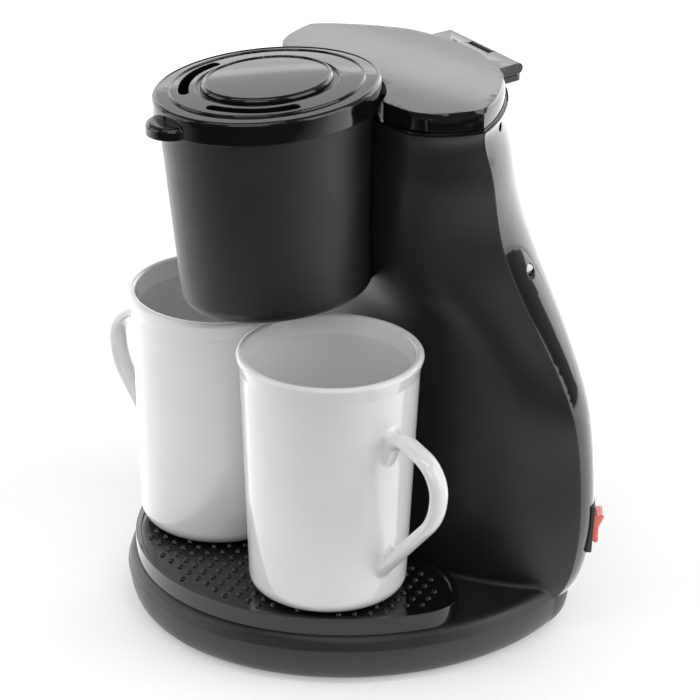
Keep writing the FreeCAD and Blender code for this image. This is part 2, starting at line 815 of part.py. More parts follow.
def tank_block(inset, top_z):
    """The room for the tank between its front plane, flat sides and floor, set in by a wall."""
    low = V(-TANK_HALF_X + inset, TANK_FRONT_Y + inset, TANK_FLOOR_Z + inset)
    return box(low, V(TANK_HALF_X - inset, BELLY_BACK_Y, top_z))


def water_tank():
    tub = column_cavity(SLIP_GAP).common(tank_block(0.0, BODY_TOP_Z))
    hollow = column_cavity(SLIP_GAP + TANK_WALL).common(tank_block(TANK_WALL, BODY_TOP_Z))
    collar = prism(top_outline(COLLAR_INSET, BODY_TOP_Z), COLLAR_HEIGHT)
    mouth_inset = WALL + SLIP_GAP + TANK_WALL + TANK_LIP
    mouth = prism(top_outline(mouth_inset, BODY_TOP_Z), COLLAR_HEIGHT)
    mouth = mouth.common(tank_block(TANK_WALL + TANK_LIP, BODY_TOP_Z + COLLAR_HEIGHT))
    nipple_top = V(COLD_X, COLD_Y, TANK_FLOOR_Z + TANK_WALL)
    nipple_end = V(COLD_X, COLD_Y, TANK_FLOOR_Z - NIPPLE_DROP)
    tank = tub.cut(hollow).fuse([collar, hinge_tongue(), rod(nipple_end, nipple_top, NIPPLE_RADIUS)])
    riser_low = V(0, RISER_Y, TANK_FLOOR_Z - CUT_OVERRUN)
    spout_low = V(0, BASKET_Y, SPOUT_Z)
    return tank.cut([
        mouth,
        basket_shape(SEAT_GAP),
        rod(nipple_end, nipple_top, NIPPLE_BORE),
        rod(riser_low, V(0, RISER_Y, BODY_TOP_Z), RISER_RADIUS + PIN_GAP),
        rod(spout_low, V(0, RISER_Y, SPOUT_Z), SPOUT_RADIUS + SEAT_GAP),
    ])


def reservoir_lid():
    low_z = RESERVOIR_LID_TOP_Z - LID_SKIRT
    edge_z = RESERVOIR_LID_TOP_Z - LID_BEVEL
    outer = loft([top_outline(LID_INSET, low_z), top_outline(LID_INSET, edge_z)], True)
    crown_top = top_outline(LID_INSET + 2 * LID_BEVEL, RESERVOIR_LID_TOP_Z)
    crown = loft([top_outline(LID_INSET, edge_z), crown_top], True)
    half_x, half_y = cap_half()
    bite = prism(oval(BASKET_Y, low_z, half_x + LID_GAP, half_y + LID_GAP), LID_SKIRT)
    rim_grow = LID_GAP + LID_THICK
    rim = prism(oval(BASKET_Y, low_z, half_x + rim_grow, half_y + rim_grow), LID_SKIRT)
    hollow = prism(top_outline(LID_INSET + LID_THICK, low_z), LID_SKIRT - LID_THICK).cut(rim)
    spout_gap = SPOUT_RADIUS + LID_GAP
    spout_room = box(V(-spout_gap, BASKET_Y, low_z), V(spout_gap, RISER_Y, SPOUT_Z + spout_gap))
    notch_half = HINGE_HALF + SLIP_GAP
    notch_front = HINGE_Y - HINGE_ROOT - SLIP_GAP
    notch_top = BODY_TOP_Z + HINGE_TONGUE + SLIP_GAP
    notch = box(V(-notch_half, notch_front, low_z), V(notch_half, HINGE_Y + HINGE_ROOT, notch_top))
    lid = outer.fuse(crown).cut([hollow, bite, spout_room, notch])
    web_low = V(-HINGE_HALF, HINGE_Y - KNUCKLE_WEB, HINGE_Z - HINGE_RADIUS)
    web = box(web_low, V(HINGE_HALF, HINGE_Y, HINGE_Z + HINGE_RADIUS))
    lid = lid.fuse([web, hinge_rod(HINGE_HALF, HINGE_RADIUS)])
    gap = EAR_HALF + SLIP_GAP
    slot_front = HINGE_Y - HINGE_RADIUS - 2 * SLIP_GAP
    slot = box(V(-gap, slot_front, low_z), V(gap, HINGE_Y + HINGE_ROOT, RESERVOIR_LID_TOP_Z))
    return lid.cut([slot, hinge_rod(HINGE_HALF - HINGE_END, HINGE_PIN_RADIUS + PIN_GAP)])


def lid_hinge_pin():
    return hinge_rod(HINGE_HALF - HINGE_END - SLIP_GAP, HINGE_PIN_RADIUS)


# Brew basket, its cap and the filter

def brew_basket():
    outlets = both_sides(OUTLET_X, CUP_Y)
    basket = basket_shape(0.0).cut(basket_shape(-BASKET_WALL))
    cuts = rods(outlets, BASKET_BOTTOM_Z, BASKET_BOTTOM_Z + BASKET_WALL, OUTLET_BORE)
    cuts.append(rod(V(0, BASKET_Y, SPOUT_Z), V(0, RISER_Y, SPOUT_Z), SPOUT_RADIUS + SEAT_GAP))
    return basket.cut(cuts)


def cap_oval(z, share):
    half_x, half_y = cap_half()
    return oval(BASKET_Y, z, half_x * share, half_y * share)


def vent_point(sign, angle, grow):
    """Point on the oval of a vent slot, with the angle counted from the front."""
    half_x, half_y = cap_half()
    x = sign * (half_x * VENT_SHARE + grow) * math.sin(angle)
    y = BASKET_Y - (half_y * VENT_SHARE + grow) * math.cos(angle)
    return V(x, y, BASKET_RIM_Z)


def vent_slot(sign):
    """Curved slot with round ends through the raised step, to one side of the front."""
    start = math.radians(VENT_START_DEG)
    end = math.radians(VENT_END_DEG)
    half = VENT_WIDTH / 2
    inner = [vent_point(sign, lerp(start, end, share), -half) for share in (0.0, 0.5, 1.0)]
    outer = [vent_point(sign, lerp(start, end, share), half) for share in (0.0, 0.5, 1.0)]
    caps = []
    for index in (0, 2):
        middle = (inner[index] + outer[index]) / 2
        away = (middle - (inner[1] + outer[1]) / 2).normalize()
        across = outer[index] - inner[index]
        along = V(0, 0, 1).cross(across).normalize()
        if along.dot(away) < 0:
            along = -along
        caps.append(Part.Arc(inner[index], middle + along * across.Length / 2, outer[index]).toShape())
    wire = Part.Wire([Part.Arc(*inner).toShape(), caps[1], Part.Arc(*outer).toShape(), caps[0]])
    return prism(wire, CAP_SKIRT)


def rounded_top(solid, radius):
    """Round the edges that lie in a solid's top plane."""
    return solid.makeFillet(radius, edges_at(solid, solid.BoundBox.ZMax))


def cap_tab():
    """Finger tongue at the front of the cap."""
    half_y = cap_half()[1]
    z = CAP_RIM_Z - CAP_SKIRT + CAP_TAB_LIFT
    tip_y = BASKET_Y - half_y - CAP_TAB_LENGTH + CAP_TAB_HALF
    back_y = BASKET_Y - half_y + CAP_TAB_HALF
    left = V(-CAP_TAB_HALF, tip_y, z)
    right = V(CAP_TAB_HALF, tip_y, z)
    wire = Part.Wire([
        Part.Arc(left, V(0, tip_y - CAP_TAB_HALF, z), right).toShape(),
        Part.LineSegment(right, V(CAP_TAB_HALF, back_y, z)).toShape(),
        Part.LineSegment(V(CAP_TAB_HALF, back_y, z), V(-CAP_TAB_HALF, back_y, z)).toShape(),
        Part.LineSegment(V(-CAP_TAB_HALF, back_y, z), left).toShape(),
    ])
    return rounded_top(prism(wire, CAP_TAB_THICK), CAP_TAB_ROUND)


def basket_cap():
    low_z = CAP_RIM_Z - CAP_SKIRT
    step_z = CAP_RIM_Z + CAP_STEP_RISE
    body = rounded_top(prism(cap_oval(low_z, 1.0), CAP_SKIRT), CAP_ROUND)
    step = rounded_top(prism(cap_oval(BASKET_RIM_Z, CAP_STEP), step_z - BASKET_RIM_Z), CAP_STEP_ROUND)
    disc_height = step_z + CAP_DISC_RISE - BASKET_RIM_Z
    disc = rounded_top(prism(cap_oval(BASKET_RIM_Z, CAP_DISC), disc_height), CAP_DISC_ROUND)
    room = oval(BASKET_Y, low_z, BASKET_HALF_X + CAP_GAP, BASKET_HALF_Y + CAP_GAP)
    inside = prism(room, BASKET_RIM_Z + SEAT_GAP - low_z)
    groove = prism(cap_oval(step_z - CAP_GROOVE_DEPTH, CAP_GROOVE), CAP_GROOVE_DEPTH)
    cap = body.fuse([step, cap_tab()]).cut(groove).fuse(disc)
    return cap.cut([inside] + [vent_slot(sign) for sign in SIDES])


def filter_oval(z, inset):
    middle, half_x, half_y = basket_span(FILTER_RIM_Z)
    drop = FILTER_TAPER * (FILTER_RIM_Z - z) / (FILTER_RIM_Z - FILTER_FLOOR_Z)
    shrink = BASKET_WALL + FILTER_RIM_WIDTH + SEAT_GAP + inset + drop
    return oval(middle, z, half_x - shrink, half_y - shrink)


def filter_cup(inset, lift):
    return loft([filter_oval(FILTER_FLOOR_Z + lift, inset), filter_oval(FILTER_RIM_Z, inset)], True)


def filter_frame():
    rim_oval = basket_oval(FILTER_RIM_Z - FILTER_RIM_THICK, -BASKET_WALL - SEAT_GAP)
    frame = filter_cup(0.0, 0.0).fuse(prism(rim_oval, FILTER_RIM_THICK))
    frame = frame.cut(filter_cup(FILTER_WALL, FILTER_WALL))
    low_z = FILTER_FLOOR_Z + FILTER_LOW_BAND
    high_z = FILTER_RIM_Z - FILTER_TOP_BAND
    windows = []
    for index in range(FILTER_WINDOWS):
        low = V(0, -FILTER_WINDOW_WIDTH / 2, low_z)
        window = box(low, V(BASKET_HALF_Y, FILTER_WINDOW_WIDTH / 2, high_z))
        window.rotate(V(0, 0, 0), V(0, 0, 1), (index + 0.5) * 360.0 / FILTER_WINDOWS)
        window.translate(V(0, basket_span(FILTER_RIM_Z)[0], 0))
        windows.append(window)
    return frame.cut(windows)


def filter_mesh():
    outer = filter_cup(FILTER_WALL + MESH_GAP, FILTER_WALL + MESH_GAP)
    inset = FILTER_WALL + MESH_GAP + MESH_THICK
    return outer.cut(filter_cup(inset, inset))


# Water path

def spout_path():
    top = V(0, RISER_Y, SPOUT_Z)
    end = V(0, SPOUT_REACH_Y, SPOUT_Z)
    return [V(0, RISER_Y, RISER_TOP_Z), top, end, V(0, SPOUT_REACH_Y, SPOUT_END_Z)]


def pipe(points, radii, radius, bore):
    return hose(points, radii, radius).cut(hose(points, radii, bore))


def shower_spout():
    return pipe(spout_path(), [SPOUT_BEND, SPOUT_BEND], SPOUT_RADIUS, SPOUT_BORE)


def riser_foot():
    return V(0, RISER_Y, TANK_FLOOR_Z - RISER_DROP)


def riser_tube():
    return tube(riser_foot(), V(0, RISER_Y, RISER_TOP_Z), RISER_RADIUS, RISER_BORE)


def valve_top():
    return V(COLD_X, COLD_Y, TANK_FLOOR_Z - NIPPLE_DROP)


def check_valve():
    return tube(valve_top() - V(0, 0, VALVE_LENGTH), valve_top(), VALVE_RADIUS, NIPPLE_BORE)


def heater_end(sign):
    """Open end of the heater's rear leg (sign 1) or front leg (sign -1)."""
    return V(HEATER_LEG, HEATER_Y + sign * HEATER_SPAN / 2, HEATER_Z)


def cold_hose():
    start = valve_top() - V(0, 0, VALVE_LENGTH)
    end = heater_end(1)
    turn = end + V(HOSE_RUN, 0, 0)
    points = [start, start - V(0, 0, HOSE_RISE), turn + V(0, 0, HOSE_RISE), turn, end]
    return pipe(points, [HOSE_BEND] * 3, HOSE_RADIUS, HOSE_BORE)


def hot_hose():
    start = heater_end(-1)
    turn = start + V(HOSE_RUN, 0, 0)
    points = [start, turn, turn + V(0, 0, HOSE_RISE), riser_foot() - V(0, 0, HOSE_RISE), riser_foot()]
    return pipe(points, [HOSE_BEND] * 3, HOSE_RADIUS, HOSE_BORE)


# Heater

def heater_path(drop, stickout):
    back = heater_end(1) + V(stickout, 0, -drop)
    front = heater_end(-1) + V(stickout, 0, -drop)
    turn_x = -HEATER_LEG - HEATER_SPAN / 2
    points = [back, V(turn_x, back.y, back.z), V(turn_x, front.y, front.z), front]
    return rounded_path(points, [HEATER_SPAN / 2 - TOLERANCE] * 2)


def round_section(place, radius):
    return Part.Wire([Part.Circle(place, V(1, 0, 0), radius).toShape()])


def heater_body():
    end = heater_end(1)
    low = end + V(0, -HEATER_HALF_WIDTH, -HEATER_DROP)
    high = end + V(0, HEATER_HALF_WIDTH, HEATER_TOP)
    section = Part.makePolygon([low, V(end.x, high.y, low.z), high, V(end.x, low.y, high.z), low])
    block = sweep(heater_path(0.0, 0.0), section)
    water = sweep(heater_path(0.0, 0.0), round_section(end, HEATER_BORE))
    element_end = end - V(0, 0, ELEMENT_DROP)
    element = sweep(heater_path(ELEMENT_DROP, 0.0), round_section(element_end, ELEMENT_RADIUS + PIN_GAP))
    return block.cut([water, element])


def heater_element():
    end = heater_end(1) + V(ELEMENT_PIN, 0, -ELEMENT_DROP)
    return sweep(heater_path(ELEMENT_DROP, ELEMENT_PIN), round_section(end, ELEMENT_RADIUS))


def heater_brackets():
    half_y = HEATER_SPAN / 2 + BRACKET_OVERLAP
    plates = []
    for place in bracket_places():
        low = V(place.x - BRACKET_WIDTH / 2, HEATER_Y - half_y, bracket_z())
        high = V(place.x + BRACKET_WIDTH / 2, HEATER_Y + half_y, bracket_z() + BRACKET_THICK)
        hole = rod(V(place.x, place.y, low.z), V(place.x, place.y, high.z), SCREW_RADIUS + SCREW_HOLE_GAP)
        plates.append(box(low, high).cut(hole))
    return Part.makeCompound(plates)


def heater_screws():
    return plain_screws(bracket_places(), bracket_z() + BRACKET_THICK, -BASE_SCREW_LENGTH)


def thermostat():
    place = V(0, HEATER_Y + HEATER_SPAN / 2, HEATER_Z + HEATER_TOP)
    return rod(place, place + V(0, 0, THERMOSTAT_HEIGHT), THERMOSTAT_RADIUS)


def thermal_fuse():
    place = V(-FUSE_LENGTH / 2, HEATER_Y - HEATER_SPAN / 2, HEATER_Z + HEATER_TOP + FUSE_RADIUS)
    return rod(place, place + V(FUSE_LENGTH, 0, 0), FUSE_RADIUS)


# Switch

def rocker_pivot():
    return V(-ROCKER_PIVOT_IN, 0, 0)


def rocker_half_width():
    return SWITCH_HALF_WIDTH - SWITCH_WALL - ROCKER_GAP


def trunnion(reach, radius):
    return rod(rocker_pivot() - V(0, reach, 0), rocker_pivot() + V(0, reach, 0), radius)


def switch_body():
    flange = switch_placed(switch_block(-SWITCH_FLANGE - WALL, SWITCH_PROUD, SWITCH_FLANGE))
    flange = flange.cut(column_back())
    case = switch_placed(switch_block(-SWITCH_DEPTH, SWITCH_PROUD, 0.0))
    well_back = -ROCKER_PIVOT_IN - ROCKER_BACK - ROCKER_GAP
    well = switch_placed(switch_block(well_back, 2 * SWITCH_PROUD, -SWITCH_WALL))
    reach = rocker_half_width() + ROCKER_PIVOT_LENGTH + ROCKER_GAP
    holes = switch_placed(trunnion(reach, ROCKER_PIVOT_RADIUS + PIN_GAP))
    return flange.fuse(case).cut([well, holes])


def rocker():
    half = rocker_half_width()
    half_height = SWITCH_HALF_HEIGHT - SWITCH_WALL - ROCKER_END_GAP
    tail = half_height - ROCKER_BACK_HALF / 2
    outline = [
        V(ROCKER_CREST, -half, half_height),
        V(ROCKER_WAIST, -half, 0),
        V(ROCKER_CREST, -half, -half_height),
        V(0, -half, -tail),
        V(-ROCKER_BACK, -half, -ROCKER_BACK_HALF),
        V(-ROCKER_BACK, -half, ROCKER_BACK_HALF),
        V(0, -half, tail),
    ]
    paddle = Part.Face(Part.makePolygon(outline + outline[:1])).extrude(V(0, 2 * half, 0))
    paddle = paddle.fuse(trunnion(half + ROCKER_PIVOT_LENGTH, ROCKER_PIVOT_RADIUS))
    paddle.rotate(rocker_pivot(), V(0, 1, 0), ROCKER_TILT_DEG)
    return switch_placed(paddle)


# Drip tray and cups

def tray_outline(z, inset):
    edge_inset = TRAY_INSET + inset
    half_x = BASE_HALF_WIDTH - edge_inset
    half_y = BASE_HALF_DEPTH - edge_inset
    front = front_arc(BASE_Y, z, half_x, half_y, TRAY_END_Y)
    tip = V(ellipse_half(TRAY_END_Y, edge_inset), TRAY_END_Y, z)
    half = [
        tip,
        tip + V(TRAY_END_BULGE, TRAY_END_REACH - inset, 0),
        V(TRAY_LOBE[0] - inset, TRAY_LOBE[1] - inset, z),
        V(TRAY_LOBE_IN[0], TRAY_LOBE_IN[1] - inset, z),
        V(TRAY_WAIST[0], TRAY_WAIST[1] - inset, z),
        V(0, TRAY_MIDDLE_Y - inset, z),
    ]
    return Part.Wire([front, spline(mirrored(half))])


def stud_places(floor_z):
    """Staggered grid of studs that lie wholly inside the tray's floor."""
    floor = Part.Face(tray_outline(floor_z, TRAY_WALL + STUD_MARGIN))
    row_step = STUD_PITCH * math.sqrt(3.0) / 2
    bounds = floor.BoundBox
    places = []
    row = 0
    y = bounds.YMin
    while y < bounds.YMax:
        count = int(bounds.XMax / STUD_PITCH) + 1
        shift = STUD_PITCH / 2 * (row % 2)
        for column in range(-count, count + 1):
            place = V(column * STUD_PITCH + shift, y, floor_z)
            if floor.isInside(place, TOLERANCE, True):
                places.append(place)
        row += 1
        y += row_step
    return places


def drip_tray():
    floor_z = CUP_SEAT_Z - STUD_HEIGHT
    lip_z = CUP_SEAT_Z - TRAY_LIP_DROP
    body = prism(tray_outline(DECK_Z, 0.0), lip_z - DECK_Z)
    dish = prism(tray_outline(floor_z, TRAY_WALL), STUD_HEIGHT)
    under = prism(tray_outline(DECK_Z, TRAY_WALL), floor_z - TRAY_FLOOR - DECK_Z)
    studs = []
    for place in stud_places(floor_z):
        studs.append(Part.makeCone(STUD_RADIUS, STUD_TOP_RADIUS, STUD_HEIGHT, place))
    return body.cut([dish, under]).fuse(studs)


def cup_profile():
    """Half section of a cup, from the axis under the foot round to the axis inside."""
    top = CUP_HEIGHT
    ring_in = CUP_RING_RADIUS - CUP_RING_WIDTH
    corner_mid = CUP_CORNER * (1.0 - math.sqrt(0.5))
    inner_foot = CUP_FOOT_RADIUS - CUP_WALL
    rim_mid = CUP_RIM_RADIUS - CUP_WALL / 2
    edges = [
        Part.LineSegment(V(0, 0, CUP_RING_HEIGHT), V(ring_in, 0, CUP_RING_HEIGHT)),
        Part.LineSegment(V(ring_in, 0, CUP_RING_HEIGHT), V(ring_in, 0, 0)),
        Part.LineSegment(V(ring_in, 0, 0), V(CUP_FOOT_RADIUS - CUP_CORNER, 0, 0)),
        Part.Arc(V(CUP_FOOT_RADIUS - CUP_CORNER, 0, 0),
                 V(CUP_FOOT_RADIUS - corner_mid, 0, corner_mid),
                 V(CUP_FOOT_RADIUS, 0, CUP_CORNER)),
        Part.LineSegment(V(CUP_FOOT_RADIUS, 0, CUP_CORNER), V(CUP_NECK_RADIUS, 0, top - 2 * LIP_HEIGHT)),
        Part.LineSegment(V(CUP_NECK_RADIUS, 0, top - 2 * LIP_HEIGHT),
                         V(CUP_RIM_RADIUS, 0, top - CUP_WALL / 2)),
        Part.Arc(V(CUP_RIM_RADIUS, 0, top - CUP_WALL / 2), V(rim_mid, 0, top),
                 V(CUP_RIM_RADIUS - CUP_WALL, 0, top - CUP_WALL / 2)),
        Part.LineSegment(V(CUP_RIM_RADIUS - CUP_WALL, 0, top - CUP_WALL / 2),
                         V(CUP_NECK_RADIUS - CUP_WALL, 0, top - 2 * LIP_HEIGHT)),
        Part.LineSegment(V(CUP_NECK_RADIUS - CUP_WALL, 0, top - 2 * LIP_HEIGHT),
                         V(inner_foot, 0, CUP_FLOOR + CUP_CORNER)),
        Part.Arc(V(inner_foot, 0, CUP_FLOOR + CUP_CORNER),
                 V(inner_foot - corner_mid, 0, CUP_FLOOR + corner_mid),
                 V(inner_foot - CUP_CORNER, 0, CUP_FLOOR)),
        Part.LineSegment(V(inner_foot - CUP_CORNER, 0, CUP_FLOOR), V(0, 0, CUP_FLOOR)),
        Part.LineSegment(V(0, 0, CUP_FLOOR), V(0, 0, CUP_RING_HEIGHT)),
    ]
    return Part.Wire([edge.toShape() for edge in edges])


def cup_handle():
    """Ear-shaped handle on the cup's +X side."""
    root = CUP_FOOT_RADIUS - CUP_WALL / 2
    points = [V(root, 0, HANDLE_ROOT_Z)]
    points += [V(x, 0, z) for x, z in (HANDLE_CREST, HANDLE_CORNER, HANDLE_ELBOW)]
    points.append(V(root, 0, HANDLE_LOW_Z))
    path = rounded_path(points, HANDLE_BENDS)
    start = points[0]
    along = (points[1] - start).normalize()
    up = V(0, 1, 0).cross(along).normalize() * HANDLE_THICK
    section = Part.Ellipse(start + V(0, HANDLE_WIDTH, 0), start + up, start)
    return sweep(path, Part.Wire([section.toShape()]))


def handle_roots(whole):
    """Edges where the handle meets the cone of the cup's wall."""
    roots = []
    for edge in whole.Edges:
        surfaces = [face.Surface for face in whole.ancestorsOfType(edge, Part.Face)]
        cones = [surface for surface in surfaces if isinstance(surface, Part.Cone)]
        narrow = edge.BoundBox.YLength < 2 * HANDLE_WIDTH
        if narrow and len(cones) == 1 and edge.CenterOfMass.x > CUP_RING_RADIUS:
            roots.append(edge)
    return roots


def cup(sign):
    core = Part.makeCone(CUP_FOOT_RADIUS - CUP_WALL / 2, CUP_NECK_RADIUS - CUP_WALL / 2, CUP_HEIGHT)
    body = Part.Face(cup_profile()).revolve(V(0, 0, 0), V(0, 0, 1), 360)
    whole = body.fuse(cup_handle().cut(core))
    whole = whole.makeFillet(HANDLE_ROOT_ROUND, handle_roots(whole))
    turn = HANDLE_TURN_DEG if sign > 0 else 180.0 + HANDLE_TURN_DEG
    whole.rotate(V(0, 0, 0), V(0, 0, 1), turn)
    whole.translate(V(sign * CUP_X, CUP_Y, CUP_SEAT_Z))
    return whole


PIECES = {
    "base_pan": base_pan,
    "rubber_feet": rubber_feet,
    "base_screws": base_screws,
    "front_housing": front_housing,
    "rear_shell": rear_shell,
    "side_screws": side_screws,
    "cord_gland": cord_gland,
    "water_tank": water_tank,
    "reservoir_lid": reservoir_lid,
    "lid_hinge_pin": lid_hinge_pin,
    "brew_basket": brew_basket,
    "basket_cap": basket_cap,
    "filter_frame": filter_frame,
    "filter_mesh": filter_mesh,
    "shower_spout": shower_spout,
    "riser_tube": riser_tube,
    "check_valve": check_valve,
    "cold_hose": cold_hose,
    "hot_hose": hot_hose,
    "heater_body": heater_body,
    "heater_element": heater_element,
    "heater_brackets": heater_brackets,
    "heater_screws": heater_screws,
    "thermostat": thermostat,
    "thermal_fuse": thermal_fuse,
    "switch_body": switch_body,
    "switch_rocker": rocker,
    "drip_tray": drip_tray,
    "right_cup": lambda: cup(1),
    "left_cup": lambda: cup(-1),
}

os.makedirs("parts", exist_ok=True)
for name, make in PIECES.items():
    save(name, make())
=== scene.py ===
import json
import math

import bmesh
import bpy
from mathutils import Matrix, Vector
from mathutils.kdtree import KDTree


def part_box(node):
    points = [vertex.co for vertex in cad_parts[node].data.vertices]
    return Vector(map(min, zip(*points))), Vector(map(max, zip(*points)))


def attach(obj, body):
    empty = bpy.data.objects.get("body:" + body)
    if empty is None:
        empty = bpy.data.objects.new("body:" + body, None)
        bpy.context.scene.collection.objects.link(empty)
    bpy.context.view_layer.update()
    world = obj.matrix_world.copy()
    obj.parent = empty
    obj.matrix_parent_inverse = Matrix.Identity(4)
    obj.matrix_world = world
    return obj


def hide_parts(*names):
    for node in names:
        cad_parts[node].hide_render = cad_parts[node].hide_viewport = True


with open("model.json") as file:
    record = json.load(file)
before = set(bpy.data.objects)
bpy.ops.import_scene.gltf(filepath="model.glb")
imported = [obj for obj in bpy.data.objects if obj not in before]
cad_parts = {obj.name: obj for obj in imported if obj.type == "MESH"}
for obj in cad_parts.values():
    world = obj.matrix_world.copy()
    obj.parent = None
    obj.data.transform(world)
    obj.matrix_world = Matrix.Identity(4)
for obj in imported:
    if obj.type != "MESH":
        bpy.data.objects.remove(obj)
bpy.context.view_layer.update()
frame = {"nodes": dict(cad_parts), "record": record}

nodes = frame["nodes"]
scene = bpy.context.scene

MM = 0.001

# Camera: azimuth is counted from the front of the machine towards its switch side
CAMERA_AZIMUTH = 53.05
CAMERA_ELEVATION = 24.68
CAMERA_ROLL = 0.68
CAMERA_DISTANCE = 2.0
CAMERA_TARGET = Vector((0, 12.18 * MM, 100.21 * MM))
CAMERA_LENS = 272.36
SENSOR_WIDTH = 36

# Surroundings: radiance is what a mirror would show, with 1 as white. They pale from front to back, between
# two cosines of the angle to the camera's side
WORLD_DIFFUSE = 0.27
WORLD_FRONT = 0.2
WORLD_BACK = 1.0
WORLD_FRONT_COSINE = -0.1
WORLD_BACK_COSINE = -0.95

# Floor, in metres: seen directly, it is white beyond the shadow; to all other rays painted shade darkens it
# towards the camera and it pales away from it, and mirrored it has a painted glow that grows away from the
# camera
FLOOR_SIZE = 6.0
FLOOR_GLOW = 0.3
FLOOR_SHADOW_REACH = 0.4
FLOOR_WHITE_FROM = 1.2
# Painted shade on the floor for all but camera rays: its darkest colour, the pale colour, and where the
# shade starts and ends
FLOOR_PAINTED_SHADE = 0.04
FLOOR_PALE = 0.81
FLOOR_PAINTED_SHADE_FROM = -0.42
FLOOR_PAINTED_SHADE_END = -0.16
# Painted glow of the floor in reflections: its strength, where it starts and where it is full
FLOOR_PAINTED_GLOW = 1.6
FLOOR_PAINTED_GLOW_FROM = -0.25
FLOOR_PAINTED_GLOW_FULL = 0.15
FLOOR_GRAIN = 0.4
FLOOR_GRAIN_LOW = 0.98

# Name, azimuth from the camera, elevation, distance, width, height and radiance of each lamp
LAMPS = (
    ("back_low_softbox", 180, 15, 1.6, 2.0, 0.55, 1.35),
    ("back_high_softbox", 180, 31, 1.7, 2.4, 0.5, 0.8),
    ("left_softbox", -80, 20, 1.3, 1.0, 1.1, 1.7),
    ("left_back_softbox", -130, 16, 1.5, 1.0, 0.9, 1.9),
    ("right_softbox", 75, 20, 1.3, 0.9, 1.1, 2.6),
    ("right_back_softbox", 139, 15, 1.5, 1.1, 0.9, 2.3),
    ("top_strip", 0, 66, 1.3, 1.2, 0.14, 6.0),
    ("front_softbox", 8, 34, 1.4, 0.8, 0.5, 2.6),
)

# Reshaped pieces: the distance that counts as none, the squares that flat faces are cut into before they are
# bent, the angle from which an edge stays sharp, and the profile of a round edge
TOUCHING = 0.001 * MM
BEND_GRID = 3.5 * MM
SHARP_ANGLE = math.radians(35)
ROUND_PROFILE = 0.5

# Reservoir lid: its swell, how far its outline grows, and how much of the bevel the top takes over
CROWN_RISE = 1.2 * MM
CROWN_FROM_Y = 9 * MM
CROWN_END_Y = 70 * MM
LID_BEVEL = 1.4 * MM
LID_BEVEL_TAKEN = 2.1 * MM
LID_BEVEL_FLATTEST = 0.98
LID_BEVEL_STEEPEST = 0.3
LID_GROWTH = 0.9 * MM
LID_KEPT_Y = 66 * MM
LID_FADE = 8 * MM
LID_SKIRT_NEAR = 0.8 * MM
LID_UPRIGHT = 0.1
LID_EDGE = 0.6 * MM
LID_EDGE_STEPS = 3

# Basket cap: how far a flat surface as wide as the rim would drop, and the half sizes of that rim
CAP_DOME = 1.7 * MM
CAP_HALF_X = 33.3 * MM
CAP_HALF_Y = 43.7 * MM
CAP_LEVEL_NEAR = 0.01 * MM

# Depth below the cap's top of each flat surface, and the squared share of the half sizes where it starts
CAP_LEVELS = ((0.0, 0.0), (2.0 * MM, 0.436), (3.0 * MM, 0.81))

# Rocker: the way it faces, the depth of it that shows, how its edges are rounded and how far it is let in
ROCKER_OUT = Vector((0.6, 0.8, 0))
ROCKER_SHOWN = 3.2 * MM
ROCKER_ROUND = 1.5 * MM
ROCKER_ROUND_STEPS = 5
ROCKER_FLAT_ANGLE = math.radians(4)
ROCKER_SUNK = 0.9 * MM

# Switch bezel: how far its face is let in at the top and at the bottom, and how its edges are rounded
BEZEL_SUNK_TOP = 0.7 * MM
BEZEL_SUNK_LOW = 1.8 * MM
BEZEL_ROUND = 0.6 * MM
BEZEL_ROUND_STEPS = 3
BEZEL_FACE = 0.3 * MM


def direction(azimuth, elevation):
    """Unit vector from the machine towards a place around it."""
    a = math.radians(azimuth)
    e = math.radians(elevation)
    return Vector((math.sin(a) * math.cos(e), -math.cos(a) * math.cos(e), math.sin(e)))


